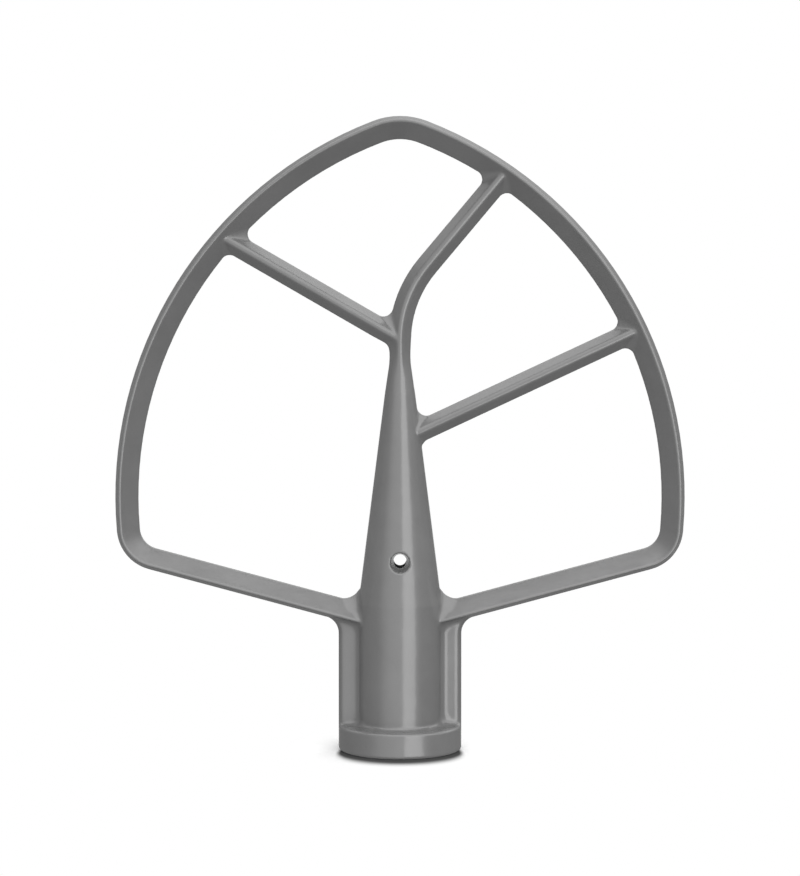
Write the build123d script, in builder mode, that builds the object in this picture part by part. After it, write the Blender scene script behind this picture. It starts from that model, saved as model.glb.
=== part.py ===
from build123d import *
from math import cos, radians, sin, tan
import os

# Flat beater for a stand mixer: one coated aluminium casting, standing on its collar as it does
# on a shelf. X runs across the blade, Y through it and Z up the hub. The origin is the centre
# of the collar's flat end, where the mixer's shaft goes in. The blade is flat, and its middle
# plane, Y = 0, is where the two halves of the casting mould met. All sizes are millimetres
# and degrees.

# Pointed arch that runs round the bowl's wall
half_width = 70.0
rim_radius = 98.9
widest_level = 62.0
top_radius = 18.5
corner_radius = 10.6
rim_width = 5.7

# Two arms that close the arch at the bottom and carry it on the hub
arm_angle = 15.0
arm_root_level = 27.7
arm_width = 5.45
inner_corner_radius = 5.3

# Bars across the arch: angle up from level, and the height where each meets the hub's axis
left_bar_angle = 30.0
left_bar_level = 100.7
right_bar_angle = 25.0
right_bar_level = 75.9
bent_bar_angle = 50.0
bent_bar_level = 110.9
bend_radius = 28.5
bar_width = 5.27
stem_width = 5.5

# Section of the rim and bars: a narrow flat where the mould halves met, then sloping sides that
# run up to a ridge on the front and on the back, flat on the rim and round on the bars. The
# slopes are angles from straight through.
parting_flat = 0.5
outer_draft = 16.0
rim_slope = 42.0
bar_slope = 36.0
rim_ridge_width = 0.6
bar_ridge_radius = 1.1
bar_edge_radius = 0.6

# Rounds in the corners of the four openings, in the middle plane and near the ridges
window_radius = 2.4
window_ridge_radius = 0.4
arm_root_radius = 4.2

# Hub: a cylinder, then a long cone that narrows to the stem's width at its end
hub_radius = 10.25
hub_length = 35.9
cone_end_level = 95.3
cone_tip_radius = 2.0
cone_blend_radius = 25.0
collar_radius = 15.1
collar_height = 6.1
collar_end_radius = 0.7
collar_top_radius = 0.4
collar_blend_radius = 1.0

# Thin ribs down both sides of the hub
rib_thickness = 3.5
rib_edge_radius = 1.6
rib_root_radius = 2.0
armpit_radius = 4.2

# Socket for the mixer's shaft and its cross pin
bore_radius = 6.45
bore_depth = 42.0
bore_end_angle = 45.0
bore_mouth_chamfer = 0.6
pin_slot_width = 4.4
pin_slot_radius = 8.5
pin_channel_level = 18.6
pin_turn_angle = 45.0
pin_seat_drop = 1.6

# Drain hole through the cone, drafted from both sides to a narrower throat
drain_level = 46.6
drain_mouth_radius = 2.5
drain_throat_radius = 1.6
drain_throat_depth = 2.9

# How far a hidden flank lies inside the one that it backs, on a bar and on the rim or an arm,
# and how far cutters run past what they cut
tuck = 0.02
rim_tuck = 0.06
overshoot = 0.5

# Points closer than this are one point, and edges that turn less than this run on smoothly
same_point = 0.00001
smooth_turn = 17.0

# Values that follow from the sizes above
side_centre = rim_radius - half_width
reach = 2 * rim_radius
half_flat = parting_flat / 2
arm_slope = tan(radians(arm_angle))
cone_slope = (hub_radius - stem_width / 2) / (cone_end_level - hub_length)
rim_closing = tan(radians(outer_draft)) + tan(radians(rim_slope))
rim_ridge_depth = half_flat + (rim_width - rim_ridge_width) / rim_closing
bar_edge_depth = half_flat + bar_width / 2 / tan(radians(bar_slope))
bar_round_start = bar_edge_depth - bar_ridge_radius * cos(radians(bar_slope)) / tan(radians(bar_slope))
bar_ridge_depth = bar_round_start + bar_ridge_radius * (1 - sin(radians(bar_slope)))
web_depth = bar_round_start - tuck
rim_foot_radius = hub_radius / 2
bend_turn = 90 - bent_bar_angle
bend_level = bent_bar_level - bend_radius * tan(radians(bend_turn / 2))
cone_top = hub_length + (hub_radius - cone_tip_radius) / cone_slope


def growth(depth, slope):
    """How far a sloping side has moved at this depth from the middle plane."""
    return max(0, abs(depth) - half_flat) * tan(radians(slope))


def polygon(*corners, mode=Mode.ADD):
    """A straight-sided face in the sketch being drawn."""
    with BuildLine() as loop:
        Polyline(*corners, close=True)
    make_face(loop.edges(), mode=mode)


def arch(sketch, side_inset, arm_inset, tip_radius, foot_radius):
    """Pointed arch closed by the two arms, drawn this far inside the beater's outline."""
    with Locations((-side_centre, widest_level)):
        Circle(rim_radius - side_inset)
    with Locations((side_centre, widest_level)):
        Circle(rim_radius - side_inset, mode=Mode.INTERSECT)
    fillet(sketch.vertices().sort_by(Axis.Y)[-1], tip_radius)
    root = arm_root_level + arm_inset / cos(radians(arm_angle))
    wing = root + reach * arm_slope
    polygon(
        (-reach, wing), (0, root), (reach, wing), (reach, -reach), (-reach, -reach),
        mode=Mode.SUBTRACT,
    )
    fillet(sketch.vertices().sort_by(Axis.X)[0], foot_radius)
    fillet(sketch.vertices().sort_by(Axis.X)[-1], foot_radius)


def outline(depth):
    """Outer outline of the beater at one depth, drafted towards its front and back."""
    inset = growth(depth, outer_draft)
    with BuildSketch(Plane.XZ.offset(depth)) as sketch:
        arch(sketch, inset, inset, top_radius - inset, corner_radius - inset)
        fillet(sketch.vertices().sort_by(Axis.Y)[0], rim_foot_radius)
    return sketch.sketch


def inside(depth):
    """Inner edge of the rim and arms at one depth."""
    grow = growth(depth, rim_slope)
    with BuildSketch(Plane.XZ.offset(depth)) as sketch:
        arch(
            sketch,
            rim_width - grow,
            arm_width - grow,
            top_radius - rim_width + grow,
            inner_corner_radius + grow,
        )
        fillet(sketch.vertices().sort_by(Axis.Y)[0], rim_foot_radius)
    return sketch.sketch


def keep_beside_cone(side, grow):
    """Keep what lies to one side of the hub's cone: -1 is left, 1 is right."""
    foot = hub_radius - grow + hub_length * cone_slope
    head = foot - reach * cone_slope
    polygon(
        (side * foot, 0), (side * head, reach), (side * 2 * reach, reach), (side * 2 * reach, 0),
        mode=Mode.INTERSECT,
    )


def keep_left_of_stem(grow):
    """Keep what lies left of the straight stem."""
    edge = grow - stem_width / 2
    polygon((edge, 0), (edge, reach), (-reach, reach), (-reach, 0), mode=Mode.INTERSECT)


def keep_beside_bent_bar(side, grow):
    """Keep what lies to one side of the stem, its bend and the bent bar."""
    half = stem_width / 2 - grow
    with BuildLine() as loop:
        bend = CenterArc((bend_radius, bend_level), bend_radius - side * half, 180, -bend_turn)
        bar_end = bend @ 1 + Vector(sin(radians(bend_turn)), cos(radians(bend_turn))) * reach
        bar = Line(bend @ 1, bar_end)
        if side > 0:
            Polyline(bar @ 1, (2 * reach, 2 * reach), (2 * reach, 0), (half, 0), bend @ 0)
        else:
            Polyline(bar @ 1, (-reach, bar_end.Y), (-reach, (bend @ 0).Y), bend @ 0)
    make_face(loop.edges(), mode=Mode.INTERSECT)


def keep_past_crossbar(way, angle, level, above, grow):
    """Keep what lies above (1) or below (-1) a crossbar that rises to the left (-1) or right (1)."""
    rise = way * tan(radians(angle)) * reach
    edge = level + above * (bar_width / 2 - grow) / cos(radians(angle))
    far = above * 2 * reach
    polygon((-reach, edge - rise), (reach, edge + rise), (reach, far), (-reach, far), mode=Mode.INTERSECT)


def corners_of(sketch):
    """Corners where two edges meet at an angle, leaving out smooth joins and slight kinks."""
    corners = []
    for vertex in sketch.vertices():
        ways = []
        for edge in sketch.edges():
            for end in (0, 1):
                if (edge @ end - Vector(vertex)).length < same_point:
                    ways.append(edge % end)
        if ways[0].cross(ways[1]).length > sin(radians(smooth_turn)):
            corners.append(vertex)
    return corners


def window(name, depth):
    """One of the four openings at one depth, with its corners rounded."""
    rim_grow = growth(depth, rim_slope) + rim_tuck
    grow = growth(depth, bar_slope) + tuck
    share = (abs(depth) - half_flat) / (web_depth + overshoot - half_flat)
    radius = window_radius + (window_ridge_radius - window_radius) * share
    with BuildSketch(Plane.XZ.offset(depth)) as sketch:
        arch(
            sketch,
            rim_width - rim_grow,
            arm_width - rim_grow,
            top_radius - rim_width + rim_grow,
            inner_corner_radius + rim_grow,
        )
        if name == "lower left":
            keep_beside_cone(-1, grow)
            keep_left_of_stem(grow)
            keep_past_crossbar(-1, left_bar_angle, left_bar_level, -1, grow)
        elif name == "lower right":
            keep_beside_cone(1, grow)
            keep_past_crossbar(1, right_bar_angle, right_bar_level, -1, grow)
        elif name == "upper right":
            keep_beside_cone(1, grow)
            keep_beside_bent_bar(1, grow)
            keep_past_crossbar(1, right_bar_angle, right_bar_level, 1, grow)
        else:
            keep_beside_bent_bar(-1, grow)
            keep_past_crossbar(-1, left_bar_angle, left_bar_level, 1, grow)
        if name.startswith("lower"):
            arm_root = ShapeList(corners_of(sketch)).sort_by(Axis.Y)[0]
            fillet(arm_root, arm_root_radius)
        fillet(corners_of(sketch), radius)
    return sketch.sketch


def bar_section(plane, width):
    """Section of a bar, the same front and back, drawn on a plane square to the bar."""
    ridge = half_flat + width / 2 / tan(radians(bar_slope))
    with BuildSketch(plane) as sketch:
        polygon(
            (width / 2, -half_flat), (width / 2, half_flat), (0, ridge),
            (-width / 2, half_flat), (-width / 2, -half_flat), (0, -ridge),
        )
        fillet(sketch.vertices().group_by(Axis.Y)[0], bar_ridge_radius)
        fillet(sketch.vertices().group_by(Axis.Y)[-1], bar_ridge_radius)
        fillet(sketch.vertices().group_by(Axis.X)[0], bar_edge_radius)
        fillet(sketch.vertices().group_by(Axis.X)[-1], bar_edge_radius)
    return sketch.sketch


def bar_plane(way, angle, level):
    """Plane square to a crossbar where its middle line meets the hub's axis."""
    along = Vector(way * cos(radians(angle)), 0, sin(radians(angle)))
    across = Vector(-way * sin(radians(angle)), 0, cos(radians(angle)))
    return Plane(origin=(0, 0, level), x_dir=across, z_dir=along)


# Rim and arms: a slab that tapers to its front and back, with one big opening
with BuildPart() as rim:
    slab_levels = (-rim_ridge_depth, -half_flat, half_flat, rim_ridge_depth)
    loft([outline(depth) for depth in slab_levels], ruled=True)
    cut_depth = rim_ridge_depth + overshoot
    cut_levels = (-cut_depth, -half_flat, half_flat, cut_depth)
    loft([inside(depth) for depth in cut_levels], ruled=True, mode=Mode.SUBTRACT)

# Prism whose side runs along the middle of the rim's metal, level with the bars' ridges: what
# crosses the arch is trimmed to it
outer_edge = growth(bar_ridge_depth, outer_draft)
inner_edge = rim_width - growth(bar_ridge_depth, rim_slope)
core_inset = (outer_edge + inner_edge) / 2
with BuildPart() as core:
    with BuildSketch(Plane.XZ) as core_outline:
        arch(core_outline, core_inset, core_inset, top_radius - core_inset, corner_radius - core_inset)
    extrude(amount=rim_ridge_depth, both=True)

# Crossbars, and the stem that bends into the third bar
with BuildPart() as bars:
    extrude(bar_section(bar_plane(-1, left_bar_angle, left_bar_level), bar_width), amount=reach)
    extrude(bar_section(bar_plane(1, right_bar_angle, right_bar_level), bar_width), amount=reach)
    with BuildLine(Plane.XZ) as stem_path:
        stem = Line((0, hub_length), (0, bend_level))
        bend = CenterArc((bend_radius, bend_level), bend_radius, 180, -bend_turn)
        rise = Vector(sin(radians(bend_turn)), 0, cos(radians(bend_turn)))
        Line(bend @ 1, bend @ 1 + rise * reach)
    sweep(bar_section(Plane.XY.offset(hub_length), stem_width))
    add(core.part, mode=Mode.INTERSECT)

# Thin web behind the flanks, which rounds the corners of the four openings
with BuildPart() as web:
    with BuildSketch(Plane.XZ) as web_outline:
        arch(web_outline, core_inset, core_inset, top_radius - core_inset, corner_radius - core_inset)
    extrude(amount=web_depth, both=True)
    for name in ("lower left", "lower right", "upper right", "top"):
        levels = (-web_depth - overshoot, -half_flat, half_flat, web_depth + overshoot)
        loft([window(name, depth) for depth in levels], ruled=True, mode=Mode.SUBTRACT)

# Hub turned as one form: collar, cylinder and the long cone whose tip ends inside the stem
with BuildPart() as hub:
    with BuildSketch(Plane.XZ) as hub_profile:
        polygon(
            (0, 0), (collar_radius, 0), (collar_radius, collar_height), (hub_radius, collar_height),
            (hub_radius, hub_length), (cone_tip_radius, cone_top), (0, cone_top),
        )
        steps = hub_profile.vertices().filter_by(lambda corner: corner.X > cone_tip_radius + tuck)
        collar_corners = steps.sort_by(Axis.X)[-2:].sort_by(Axis.Y)
        neck_corners = steps.sort_by(Axis.X)[:-2].sort_by(Axis.Y)
        fillet(collar_corners[0], collar_end_radius)
        fillet(collar_corners[1], collar_top_radius)
        fillet(neck_corners[0], collar_blend_radius)
        fillet(neck_corners[1], cone_blend_radius)
    revolve(axis=Axis.Z)

# Ribs: a thin plate through the hub, as wide as the collar, that runs up into the arms
with BuildPart() as ribs:
    with BuildSketch(Plane.XZ) as rib_outline:
        root = arm_root_level + rim_tuck
        span = collar_radius + 2 * armpit_radius
        rib_foot = collar_height / 2
        rib_head = root + collar_radius * arm_slope + arm_width / 4
        with Locations((0, (rib_foot + rib_head) / 2)):
            Rectangle(2 * collar_radius, rib_head - rib_foot)
        polygon(
            (-span, root + span * arm_slope), (0, root), (span, root + span * arm_slope),
            (span, root + span * arm_slope + arm_width / 2), (0, root + arm_width / 2),
            (-span, root + span * arm_slope + arm_width / 2),
        )
        armpits = [
            corner for corner in rib_outline.vertices()
            if abs(abs(corner.X) - collar_radius) < tuck and rib_foot < corner.Y < rib_head
        ]
        fillet(armpits, armpit_radius)
    extrude(amount=rib_thickness / 2, both=True)
    open_edges = ribs.edges().filter_by(
        lambda edge: abs(edge.center().Y) > tuck
        and rib_foot + tuck < edge.center().Z < root + abs(edge.center().X) * arm_slope + tuck
    )
    fillet(open_edges, rib_edge_radius)

with BuildPart() as shank:
    add(hub.part)
    add(ribs.part)
    rib_roots = shank.edges().filter_by(Axis.Z).filter_by(
        lambda edge: abs(Vector(edge.center().X, edge.center().Y).length - hub_radius) < tuck
        and abs(abs(edge.center().Y) - rib_thickness / 2) < tuck
    )
    fillet(rib_roots, rib_root_radius)

# Space inside the hub: the shaft's bore with a coned end
with BuildPart() as bore:
    with BuildSketch(Plane.XZ):
        bore_end = (bore_radius - drain_throat_radius) / tan(radians(bore_end_angle))
        polygon(
            (0, 0), (bore_radius + bore_mouth_chamfer, 0), (bore_radius, bore_mouth_chamfer),
            (bore_radius, bore_depth), (drain_throat_radius, bore_depth + bore_end),
            (0, bore_depth + bore_end),
        )
    revolve(axis=Axis.Z)

# Track for the cross pin: in at the mouth on both sides, round by an eighth of a turn, and back
# down a little to the seat where the shaft's spring holds it
with BuildPart() as pin_track:
    half_slot = pin_slot_width / 2
    with BuildSketch(Plane.YZ):
        with Locations((0, pin_channel_level)):
            Circle(half_slot)
        with Locations((0, pin_channel_level / 2)):
            Rectangle(pin_slot_width, pin_channel_level)
    extrude(amount=pin_slot_radius, both=True)
    for side in (-1, 1):
        with BuildSketch(Plane.XZ):
            with Locations((side * pin_slot_radius / 2, pin_channel_level)):
                Rectangle(pin_slot_radius, pin_slot_width)
        revolve(axis=Axis.Z, revolution_arc=pin_turn_angle)
    turned = radians(pin_turn_angle)
    with BuildSketch(Plane((0, 0, 0), (-sin(turned), cos(turned), 0), (cos(turned), sin(turned), 0))):
        with Locations((0, pin_channel_level)):
            Circle(half_slot)
        with Locations((0, pin_channel_level - pin_seat_drop)):
            Circle(half_slot)
        with Locations((0, pin_channel_level - pin_seat_drop / 2)):
            Rectangle(pin_slot_width, pin_seat_drop)
    extrude(amount=pin_slot_radius, both=True)
    with BuildSketch():
        Circle(pin_slot_radius)
    extrude(amount=pin_channel_level + pin_slot_width, mode=Mode.INTERSECT)

# Drain hole, right through the cone at the bore's end
with BuildPart() as drain:
    skin_depth = hub_radius - (drain_level - hub_length) * cone_slope
    drain_slope = (drain_mouth_radius - drain_throat_radius) / (skin_depth - drain_throat_depth)
    flare = drain_throat_radius + (hub_radius - drain_throat_depth) * drain_slope
    with BuildSketch(Plane.XY.offset(drain_level)):
        polygon(
            (0, -hub_radius), (flare, -hub_radius), (drain_throat_radius, -drain_throat_depth),
            (drain_throat_radius, drain_throat_depth), (flare, hub_radius), (0, hub_radius),
        )
    revolve(axis=Axis((0, 0, drain_level), (0, 1, 0)))

with BuildPart() as flat_beater:
    add(rim.part)
    add(bars.part)
    add(web.part)
    add(shank.part)
    add(bore.part, mode=Mode.SUBTRACT)
    add(pin_track.part, mode=Mode.SUBTRACT)
    add(drain.part, mode=Mode.SUBTRACT)

os.makedirs("parts", exist_ok=True)
flat_beater.part.label = "flat_beater"
export_step(flat_beater.part, "parts/flat_beater.step")
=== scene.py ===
import logging
import math
from dataclasses import dataclass, field
from enum import Enum

import bmesh
import bpy
import numpy as np
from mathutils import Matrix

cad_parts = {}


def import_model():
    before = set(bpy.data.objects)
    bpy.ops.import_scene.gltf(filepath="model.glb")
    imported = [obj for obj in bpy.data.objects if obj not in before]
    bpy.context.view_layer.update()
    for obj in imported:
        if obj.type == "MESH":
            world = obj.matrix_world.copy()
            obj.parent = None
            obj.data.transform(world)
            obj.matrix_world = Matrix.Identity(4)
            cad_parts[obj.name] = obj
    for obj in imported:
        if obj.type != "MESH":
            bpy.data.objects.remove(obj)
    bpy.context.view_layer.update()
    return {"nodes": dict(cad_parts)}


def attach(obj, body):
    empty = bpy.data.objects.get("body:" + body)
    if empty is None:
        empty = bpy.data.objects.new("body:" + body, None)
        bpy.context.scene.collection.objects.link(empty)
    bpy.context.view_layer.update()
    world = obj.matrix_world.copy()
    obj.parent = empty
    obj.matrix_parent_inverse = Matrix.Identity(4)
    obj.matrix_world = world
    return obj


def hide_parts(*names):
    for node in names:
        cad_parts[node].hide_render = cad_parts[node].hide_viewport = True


log = logging.getLogger("flat_beater")

Mesh = bpy.types.Mesh
Socket = bpy.types.NodeSocket
Number = float | Socket
Way = tuple[float, float, float]

AXES = 3
SQUARE = 4
LEVEL = 90.0
NO_LENGTH = 1e-12
WHITE = (1.0, 1.0, 1.0, 1.0)


class Rebuild(Enum):
    """The ways in which the casting's mesh is made anew, with Blender's modifier for each."""

    SMALL_SQUARES = "REMESH"
    FEWER_FACES = "DECIMATE"


class NodeGraph:
    """A material's or the world's nodes, written as short calls."""

    def __init__(self, tree: bpy.types.NodeTree) -> None:
        """Empty a node tree and keep it, to fill it anew."""
        self.tree = tree
        tree.nodes.clear()

    def add(
        self, kind: str, inputs: dict[str | int, object] | None = None, **settings: object
    ) -> bpy.types.Node:
        """Add a node, set its properties, and fill or link its inputs.

        Args:
            kind: The node's type in Blender, after the word ShaderNode.
            inputs: Values or output sockets, by input name or number.
            settings: Properties of the node itself.

        Returns:
            The new node.
        """
        node = self.tree.nodes.new(f"ShaderNode{kind}")
        for name, value in settings.items():
            setattr(node, name, value)
        for name, value in (inputs or {}).items():
            socket = node.inputs[name]
            if isinstance(value, Socket):
                self.tree.links.new(value, socket)
            else:
                socket.default_value = value
        return node

    def coordinate(self, kind: str) -> Socket:
        """Give one of Blender's texture coordinates by its name."""
        return self.add("TexCoord").outputs[kind]

    def noise(self, place: Socket, size: float, detail: float, roughness: float) -> Socket:
        """Give a noise pattern with blobs of a size in metres, and the strength of finer ones."""
        inputs = {"Vector": place, "Scale": 1 / size, "Detail": detail, "Roughness": roughness}
        return self.add("TexNoise", inputs).outputs["Fac"]

    def ramp(
        self,
        value: Socket,
        across: tuple[Number, Number],
        to: tuple[Number, Number] = (0.0, 1.0),
        kind: str = "SMOOTHSTEP",
    ) -> Socket:
        """Turn one range of a value into another, and hold it at both ends.

        Args:
            value: The value to read.
            across: Where the range starts and ends.
            to: What the start and the end become.
            kind: Blender's word for how it goes from one to the other.

        Returns:
            The new value.
        """
        ends = {"From Min": across[0], "From Max": across[1], "To Min": to[0], "To Max": to[1]}
        ramp = self.add("MapRange", {"Value": value, **ends}, interpolation_type=kind)
        return ramp.outputs["Result"]

    def maths(self, operation: str, first: Number, second: Number) -> Socket:
        """Combine two numbers."""
        return self.add("Math", {0: first, 1: second}, operation=operation).outputs[0]

    def measure(self, operation: str, *vectors: Way | Socket) -> Socket:
        """Give the number that one or two vectors come to."""
        node = self.add("VectorMath", dict(enumerate(vectors)), operation=operation)
        return node.outputs["Value"]

    def move(self, operation: str, *vectors: Way | Socket) -> Socket:
        """Give the vector that one or two vectors come to."""
        node = self.add("VectorMath", dict(enumerate(vectors)), operation=operation)
        return node.outputs["Vector"]


@dataclass(frozen=True)
class GreyCoating:
    """The smooth satin coating baked on the casting, fine-grained and slightly uneven."""

    name: str = "grey_coating"
    colour: float = 0.175
    colour_spread: float = 0.009
    roughness: float = 0.2
    roughness_spread: float = 0.03
    reflectance_index: float = 1.9
    blotch_size: float = 0.009
    blotch_layers: tuple[float, float] = (3.0, 0.55)
    grain_size: float = 0.0007
    grain_layers: tuple[float, float] = (2.0, 0.5)
    grain_height: float = 0.000006
    wave_size: float = 0.005
    wave_layers: tuple[float, float] = (1.0, 0.4)
    wave_height: float = 0.00007
    usual_noise: tuple[float, float] = (0.3, 0.7)

    def material(self) -> bpy.types.Material:
        """Build the coating's material.

        Returns:
            The finished material.
        """
        material = bpy.data.materials.new(self.name)
        material.use_nodes = True
        graph = NodeGraph(material.node_tree)
        place = graph.coordinate("Object")
        blotches = graph.noise(place, self.blotch_size, *self.blotch_layers)
        grain = graph.noise(place, self.grain_size, *self.grain_layers)
        wave = graph.noise(place, self.wave_size, *self.wave_layers)
        waves = graph.add("Bump", {"Height": wave, "Distance": self.wave_height})
        grains = graph.add(
            "Bump",
            {"Height": grain, "Distance": self.grain_height, "Normal": waves.outputs["Normal"]},
        )
        shader = graph.add(
            "BsdfPrincipled",
            {
                "Base Color": self.varied(graph, blotches, self.colour, self.colour_spread),
                "Roughness": self.varied(graph, grain, self.roughness, self.roughness_spread),
                "Normal": grains.outputs["Normal"],
                "IOR": self.reflectance_index,
            },
        )
        graph.add("OutputMaterial", {"Surface": shader.outputs["BSDF"]})
        return material

    def varied(self, graph: NodeGraph, noise: Socket, middle: float, spread: float) -> Socket:
        """Let a number vary with a noise pattern, by a spread to each side of its middle."""
        return graph.ramp(noise, self.usual_noise, (middle - spread, middle + spread), "LINEAR")


@dataclass(frozen=True)
class HubForm:
    """The turned forms about the shaft's axis, and the roots of the arms and ribs on them."""

    collar_radius: float = 0.0151
    collar_height: float = 0.0061
    hub_radius: float = 0.01025
    hub_length: float = 0.0359
    cone_end_level: float = 0.0953
    cone_end_radius: float = 0.00275
    bore_radius: float = 0.00645
    bore_depth: float = 0.0425
    wall_margin: float = 0.0006
    reach: float = 0.00014
    drain_reach: float = 0.0003
    drain_level: float = 0.0466
    drain_surround: float = 0.0075
    round_below: float = 0.078
    fade_length: float = 0.008
    root_start: float = 0.0085
    root_end: float = 0.0165
    rib_foot_end: float = 0.0095
    rib_head_start: float = 0.029
    arm_root_end: float = 0.052

    def make_round(self, points: np.ndarray) -> None:
        """Move the points within reach of a turned face onto it, and those just beyond partly.

        Args:
            points: One row of three coordinates for each point, changed in place.
        """
        away, level = np.hypot(points[:, 0], points[:, 1]), points[:, 2]
        true = np.interp(
            level,
            [self.collar_height, self.collar_height, self.hub_length, self.cone_end_level],
            [self.collar_radius, self.hub_radius, self.hub_radius, self.cone_end_radius],
        )
        from_drain = np.hypot(points[:, 0], level - self.drain_level)
        reach = np.where(from_drain < self.drain_surround, self.drain_reach, self.reach)
        weight = np.clip(2 - np.abs(away - true) / reach, 0, 1)
        weight *= np.clip(1 - (level - self.round_below) / self.fade_length, 0, 1)
        points[:, :2] *= (1 + weight * (true / np.maximum(away, self.reach) - 1))[:, None]

    def in_socket(self, points: np.ndarray) -> np.ndarray:
        """Tell which points lie on the socket's inner walls."""
        away = np.hypot(points[:, 0], points[:, 1])
        return (away < self.bore_radius + self.wall_margin) & (points[:, 2] < self.bore_depth)

    def on_collar(self, points: np.ndarray) -> np.ndarray:
        """Tell which points lie on the collar."""
        return points[:, 2] < self.collar_height + self.wall_margin

    def at_roots(self, points: np.ndarray) -> np.ndarray:
        """Tell which points lie where an arm or a rib grows out of the hub.

        Args:
            points: One row of three coordinates for each point.

        Returns:
            True for each point at a root.
        """
        across, level = np.abs(points[:, 0]), points[:, 2]
        beside = (across > self.root_start) & (across < self.root_end)
        foot = (level > self.collar_height) & (level < self.rib_foot_end)
        head = (level > self.rib_head_start) & (level < self.arm_root_end)
        return beside & (foot | head)


@dataclass
class FineSurface:
    """The points, edges and square faces of a mesh of small squares, to move its points."""

    points: np.ndarray
    ends: np.ndarray
    squares: np.ndarray

    @classmethod
    def read(cls, mesh: Mesh) -> "FineSurface":
        """Read a mesh.

        Args:
            mesh: A mesh of small squarish faces.

        Returns:
            Its surface.
        """
        points = np.empty(len(mesh.vertices) * AXES)
        mesh.vertices.foreach_get("co", points)
        ends = np.empty(len(mesh.edges) * 2, np.int32)
        mesh.edges.foreach_get("vertices", ends)
        faces = [face.vertices for face in mesh.polygons]
        squares = np.array([corners for corners in faces if len(corners) == SQUARE])
        return cls(points.reshape(-1, AXES), ends.reshape(-1, 2), squares)

    def write(self, mesh: Mesh) -> None:
        """Give the moved points back to the mesh."""
        mesh.vertices.foreach_set("co", self.points.ravel())
        mesh.update()

    def pull(self) -> np.ndarray:
        """Find the way from each point to the middle of its neighbours.

        Returns:
            One vector for each point.
        """
        first, second = self.ends.T
        total = len(self.points)
        count = np.bincount(self.ends.ravel(), minlength=total)
        sums = [
            np.bincount(first, self.points[second, axis], total)
            + np.bincount(second, self.points[first, axis], total)
            for axis in range(AXES)
        ]
        return np.stack(sums, axis=1) / count[:, None] - self.points

    def outward(self) -> np.ndarray:
        """Find the way out of the metal at each point.

        Returns:
            One vector of length 1 for each point.
        """
        a, b, c, d = (self.points[self.squares[:, corner]] for corner in range(SQUARE))
        facing = np.cross(c - a, d - b)
        sums = [
            np.bincount(
                self.squares.ravel(), np.repeat(facing[:, axis], SQUARE), len(self.points)
            )
            for axis in range(AXES)
        ]
        way = np.stack(sums, axis=1)
        return way / np.maximum(np.linalg.norm(way, axis=1), NO_LENGTH)[:, None]

    def even_out(self, passes: int, shares: tuple[float, float]) -> None:
        """Smooth small unevenness without shrinking the form.

        Args:
            passes: How many times to go over the surface.
            shares: How far a point goes to its neighbours' middle, and how far back.
        """
        for _ in range(passes):
            for share in shares:
                self.points += share * self.pull()

    def ease(self, dip_limit: np.ndarray, bump_limit: np.ndarray, slide: float) -> None:
        """Fill and cut where a point lies further off its neighbours' middle than it may.

        Args:
            dip_limit: How far below the middle each point may lie.
            bump_limit: How far above it each point may lie.
            slide: The share of the way along the surface that a point goes to the middle.
        """
        out, pull = self.outward(), self.pull()
        rise = np.einsum("ij,ij->i", pull, out)
        step = np.maximum(rise - dip_limit, 0) - np.maximum(-rise - bump_limit, 0)
        along = pull - rise[:, None] * out
        self.points += step[:, None] * out + slide * along


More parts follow.
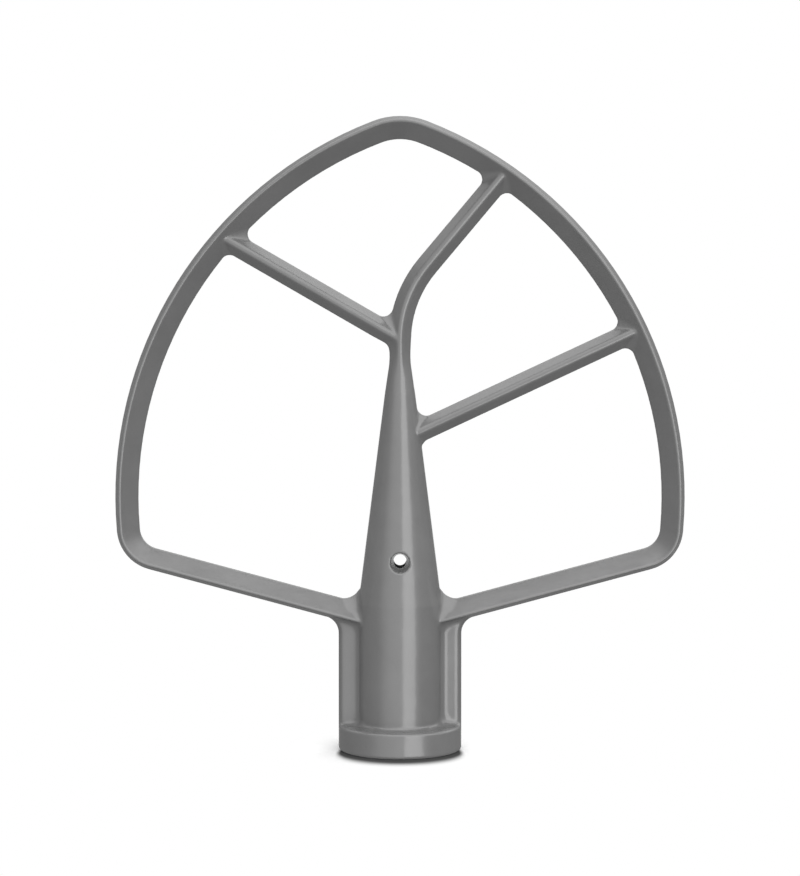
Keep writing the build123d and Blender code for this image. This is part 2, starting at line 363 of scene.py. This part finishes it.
@dataclass
class CoatedCasting:
    """The one-piece casting, with its edges and corners softened as a thick coating leaves them."""

    node: bpy.types.Object
    coating: GreyCoating = field(default_factory=GreyCoating)
    hub: HubForm = field(default_factory=HubForm)
    spacing: float = 0.0003
    weld_share: float = 0.005
    corner_radius: float = 0.0018
    root_radius: float = 0.0032
    edge_radius: float = 0.0007
    collar_edge_radius: float = 0.0009
    socket_radius: float = 0.0003
    passes: int = 150
    slide: float = 0.25
    evening_passes: int = 5
    evening_shares: tuple[float, float] = (0.5, -0.52)
    stem_foot_level: float = 0.0945
    stem_foot_reach: float = 0.007
    stem_foot_passes: int = 30
    inset: float = 0.00001
    most_triangles: int = 190000

    @staticmethod
    def rebuilt(mesh: Mesh, way: Rebuild, **settings: object) -> Mesh:
        """Make a mesh anew with one modifier.

        Args:
            mesh: The mesh to start from, which is removed afterwards.
            way: How it is made anew.
            settings: The modifier's properties.

        Returns:
            The new mesh.
        """
        carrier = bpy.data.objects.new("carrier", mesh)
        bpy.context.scene.collection.objects.link(carrier)
        modifier = carrier.modifiers.new(way.name.lower(), way.value)
        for name, value in settings.items():
            setattr(modifier, name, value)
        graph = bpy.context.evaluated_depsgraph_get()
        result = bpy.data.meshes.new_from_object(carrier.evaluated_get(graph))
        bpy.data.objects.remove(carrier)
        bpy.data.meshes.remove(mesh)
        return result

    def even_mesh(self) -> Mesh:
        """Cover the solid with small even faces.

        Returns:
            A mesh of squarish faces that closely follows the solid.
        """
        welded = bmesh.new()
        welded.from_mesh(self.node.data)
        near = self.spacing * self.weld_share
        bmesh.ops.remove_doubles(welded, verts=welded.verts, dist=near)
        mesh = bpy.data.meshes.new("solid")
        welded.to_mesh(mesh)
        welded.free()
        return self.rebuilt(mesh, Rebuild.SMALL_SQUARES, mode="VOXEL", voxel_size=self.spacing)

    def dip_radii(self, points: np.ndarray) -> np.ndarray:
        """Choose the smallest radius of an inner corner at each point."""
        radii = np.where(self.hub.at_roots(points), self.root_radius, self.corner_radius)
        return np.where(self.hub.in_socket(points), self.socket_radius, radii)

    def bump_radii(self, points: np.ndarray) -> np.ndarray:
        """Choose the smallest radius of an outer edge at each point."""
        radii = np.where(self.hub.on_collar(points), self.collar_edge_radius, self.edge_radius)
        return np.where(self.hub.in_socket(points), self.socket_radius, radii)

    def rise_on(self, radii: np.ndarray) -> np.ndarray:
        """Give how far a point on a bend lies off the middle of its four neighbours."""
        return self.spacing**2 / (SQUARE * radii)

    def soften(self, mesh: Mesh) -> None:
        """Round the mesh's sharp edges and fill its sharp corners, and leave the rest.

        Args:
            mesh: The mesh of small even faces, changed in place.
        """
        surface = FineSurface.read(mesh)
        points = surface.points
        low, high = points.min(axis=0), points.max(axis=0)
        self.hub.make_round(points)
        surface.even_out(self.evening_passes, self.evening_shares)
        dip_limit = self.rise_on(self.dip_radii(points))
        bump_limit = self.rise_on(self.bump_radii(points))
        for _ in range(self.passes):
            surface.ease(dip_limit, bump_limit, self.slide)
        self.blend_stem_foot(surface)
        surface.even_out(self.evening_passes, self.evening_shares)
        points.clip(low + self.inset, high - self.inset, out=points)
        surface.write(mesh)

    def blend_stem_foot(self, surface: FineSurface) -> None:
        """Let the stem's ridge grow smoothly out of the cone's upper end.

        Args:
            surface: The casting's surface, changed in place.
        """
        points = surface.points
        off_level = np.abs(points[:, 2] - self.stem_foot_level)
        weight = np.clip(1 - off_level / self.stem_foot_reach, 0, 1)
        weight[np.hypot(points[:, 0], points[:, 1]) > self.stem_foot_reach] = 0
        for _ in range(self.stem_foot_passes):
            points += weight[:, None] * surface.pull()

    @staticmethod
    def drop_crumbs(mesh: Mesh) -> None:
        """Delete each loose bit of a mesh, and keep its largest connected form.

        Args:
            mesh: The mesh to clean, changed in place.
        """
        shell = bmesh.new()
        shell.from_mesh(mesh)
        unseen, forms = set(shell.verts), []
        while unseen:
            form = [unseen.pop()]
            for vertex in form:
                near = {edge.other_vert(vertex) for edge in vertex.link_edges} & unseen
                unseen -= near
                form.extend(near)
            forms.append(form)
        forms.sort(key=len)
        crumbs = [vertex for form in forms[:-1] for vertex in form]
        bmesh.ops.delete(shell, geom=crumbs, context="VERTS")
        shell.to_mesh(mesh)
        shell.free()

    def build(self) -> str:
        """Make the softened casting, dress it and let it stand for the solid.

        Returns:
            A line for the log.
        """
        fine = self.even_mesh()
        self.soften(fine)
        triangles = 2 * len(fine.polygons)
        mesh = self.rebuilt(fine, Rebuild.FEWER_FACES, ratio=self.most_triangles / triangles)
        self.drop_crumbs(mesh)
        mesh.polygons.foreach_set("use_smooth", [True] * len(mesh.polygons))
        mesh.materials.clear()
        mesh.materials.append(self.coating.material())
        skin = bpy.data.objects.new("coated_casting", mesh)
        bpy.context.scene.collection.objects.link(skin)
        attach(skin, "root")
        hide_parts("flat_beater")
        return f"casting: {len(mesh.polygons)} faces"


@dataclass
class Floor:
    """A plain pale floor, white to the camera, that keeps the collar's cast shadow and adds a
    painted shadow under the collar.
    """

    half_size: float = 1.5
    drop: float = 0.00002
    shade: float = 1.0
    # Painted shadow under the collar: the floor's darkest colour, the ring's radius, how far it
    # sits to the front, and its softness at the sides and front.
    painted_shadow_darkest: float = 0.08
    painted_shadow_radius: float = 0.0152
    painted_shadow_ahead: float = 0.006
    side_blur: float = 0.05
    front_blur: float = 0.25
    white_start: float = 0.018
    white_end: float = 0.028
    white: float = 1.0

    def paint_contact_shadow(self, graph: NodeGraph, place: Socket) -> Socket:
        """Paint a shadow into the floor's colour where it meets the collar, softer towards the
        front.

        Args:
            graph: The floor's nodes.
            place: The place on the floor.

        Returns:
            The floor's colour, darkened by the painted shadow.
        """
        from_middle = graph.move("ADD", place, (0, self.painted_shadow_ahead, 0))
        away = graph.measure("LENGTH", from_middle)
        way = graph.move("NORMALIZE", from_middle)
        behind = graph.add("SeparateXYZ", {0: way}).outputs["Y"]
        radius = self.painted_shadow_radius
        blur = graph.ramp(behind, (0.0, -1.0), (self.side_blur * radius, self.front_blur * radius))
        start = graph.maths("SUBTRACT", radius, blur)
        end = graph.maths("ADD", radius, blur)
        return graph.ramp(away, (start, end), (self.painted_shadow_darkest, self.shade))

    def material(self) -> bpy.types.Material:
        """Build the floor's material.

        Returns:
            A matt pale material with a shadow painted into its colour at the collar, and plain
            white further out.
            It is clear from below, so that the beater's underside can be looked at.
        """
        material = bpy.data.materials.new("studio_floor")
        material.use_nodes = True
        graph = NodeGraph(material.node_tree)
        place = graph.coordinate("Object")
        fade = graph.ramp(graph.measure("LENGTH", place), (self.white_start, self.white_end))
        # The matt floor colour carries the painted shadow; the collar's real cast shadow also falls
        # on it.
        matt = graph.add("BsdfDiffuse", {"Color": self.paint_contact_shadow(graph, place)}).outputs["BSDF"]
        white = graph.add("Emission", {"Color": WHITE, "Strength": self.white}).outputs["Emission"]
        above = graph.add("MixShader", {0: fade, 1: matt, 2: white}).outputs["Shader"]
        below = graph.add("NewGeometry").outputs["Backfacing"]
        clear = graph.add("BsdfTransparent").outputs["BSDF"]
        surface = graph.add("MixShader", {0: below, 1: above, 2: clear}).outputs["Shader"]
        graph.add("OutputMaterial", {"Surface": surface})
        return material

    def build(self) -> str:
        """Lay the floor just under the collar.

        Returns:
            A line for the log.
        """
        mesh = bpy.data.meshes.new("studio_floor")
        far = self.half_size
        corners = [(-far, -far, 0), (far, -far, 0), (far, far, 0), (-far, far, 0)]
        mesh.from_pydata(corners, [], [(0, 1, 2, 3)])
        floor = bpy.data.objects.new("studio_floor", mesh)
        bpy.context.scene.collection.objects.link(floor)
        floor.location = (0, 0, -self.drop)
        mesh.materials.append(self.material())
        floor.visible_diffuse = False
        floor.visible_glossy = False
        floor.visible_shadow = False
        return "floor: one pale plane"


@dataclass(frozen=True)
class LightZone:
    """One soft part of the surround: which way it lies, and how it brightens towards there."""

    way: Way
    start: float
    end: float
    strength: float

    def glow(self, graph: NodeGraph, way: Socket) -> Socket:
        """Give how bright the zone is in the direction that is looked in."""
        towards = graph.measure("DOT_PRODUCT", way, self.way)
        return graph.ramp(towards, (self.start, self.end), (0.0, self.strength))


@dataclass(frozen=True)
class SoftPanel:
    """The tall soft lamp at the front right that draws the bright band down the hub."""

    name: str = "right panel"
    azimuth: float = 25.5
    height: float = 0.08
    distance: float = 1.2
    width: float = 0.76
    tall: float = 1.15
    radiance: float = 1.3

    def hang(self) -> None:
        """Hang the lamp upright, turned towards the shaft's axis."""
        data = bpy.data.lights.new(self.name, "AREA")
        data.shape = "RECTANGLE"
        data.size, data.size_y = self.width, self.tall
        data.energy = self.radiance * math.pi * self.width * self.tall
        panel = bpy.data.objects.new(self.name, data)
        bpy.context.scene.collection.objects.link(panel)
        turn = math.radians(self.azimuth)
        right, back = self.distance * math.sin(turn), -self.distance * math.cos(turn)
        panel.location = (right, back, self.height)
        panel.rotation_euler = (math.radians(LEVEL), 0, turn)


@dataclass
class Studio:
    """A soft surround that is white to look at, and one soft panel."""

    base: float = 0.22
    front: LightZone = LightZone((0.0, -1.0, 0.0), 0.4, 1.0, 0.75)
    above: LightZone = LightZone((0.2, 0.0, 0.98), 0.2, 0.9, 1.3)
    left: LightZone = LightZone((-1.0, 0.0, 0.0), 0.2, 0.9, 0.08)
    behind: LightZone = LightZone((0.0, 1.0, 0.0), 0.2, 0.9, 0.6)
    backdrop: LightZone = LightZone((0.0, 1.0, 0.0), 0.93, 0.99, 1.0)
    white: float = 1.0
    panel: SoftPanel = SoftPanel()

    def light(self, graph: NodeGraph, way: Socket, diffuse: Socket) -> Socket:
        """Add up the light that the surround gives the beater.

        Args:
            graph: The world's nodes.
            way: The direction that is looked in.
            diffuse: 1 for diffuse rays, the only ones that the fill from behind reaches.

        Returns:
            The light's strength.
        """
        fill = graph.maths("MULTIPLY", self.behind.glow(graph, way), diffuse)
        total = graph.maths("ADD", self.above.glow(graph, way), self.base)
        for part in (self.front.glow(graph, way), self.left.glow(graph, way), fill):
            total = graph.maths("ADD", total, part)
        return total

    def surround(self) -> None:
        """Make the world, white to the camera, and behind the beater to metal and glass too."""
        world = bpy.data.worlds.new("studio")
        world.use_nodes = True
        graph = NodeGraph(world.node_tree)
        way = graph.coordinate("Generated")
        rays = graph.add("LightPath").outputs
        mirrored = graph.maths("MAXIMUM", rays["Is Glossy Ray"], rays["Is Transmission Ray"])
        mirrored = graph.maths("MULTIPLY", mirrored, self.backdrop.glow(graph, way))
        seen = graph.maths("MAXIMUM", rays["Is Camera Ray"], mirrored)
        light = self.light(graph, way, rays["Is Diffuse Ray"])
        strength = graph.ramp(seen, (0.0, 1.0), (light, self.white), "LINEAR")
        surround = graph.add("Background", {"Color": WHITE, "Strength": strength})
        graph.add("OutputWorld", {"Surface": surround.outputs["Background"]})
        bpy.context.scene.world = world

    def build(self) -> str:
        """Make the surround and hang the panel.

        Returns:
            A line for the log.
        """
        self.surround()
        self.panel.hang()
        bpy.context.scene.view_settings.view_transform = "Standard"
        return f"studio: white surround and {self.panel.name}"


@dataclass
class ViewCamera:
    """The photograph's camera: a long lens a little above the beater's middle."""

    lens: float = 87.5
    sensor_width: float = 36.0
    place: Way = (0.0, -0.523, 0.0977)
    tilt_down: float = 1.2
    shift_y: float = -0.0473
    nearest: float = 0.01
    furthest: float = 10.0

    def build(self) -> str:
        """Make the camera and give it to the scene.

        Returns:
            A line for the log.
        """
        data = bpy.data.cameras.new("view")
        data.lens = self.lens
        data.sensor_width = self.sensor_width
        data.shift_y = self.shift_y
        data.clip_start, data.clip_end = self.nearest, self.furthest
        camera = bpy.data.objects.new("view", data)
        bpy.context.scene.collection.objects.link(camera)
        camera.location = self.place
        camera.rotation_euler = (math.radians(LEVEL - self.tilt_down), 0, 0)
        bpy.context.scene.camera = camera
        return f"camera: {self.lens} mm"


def main() -> None:
    """Load the frame, dress the beater, and light and frame it."""
    logging.basicConfig(level=logging.INFO, format="%(name)s: %(message)s")
    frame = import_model()
    casting = CoatedCasting(frame["nodes"]["flat_beater"])
    for part in (casting, Floor(), Studio(), ViewCamera()):
        log.info(part.build())


if __name__ == "__main__":
    main()
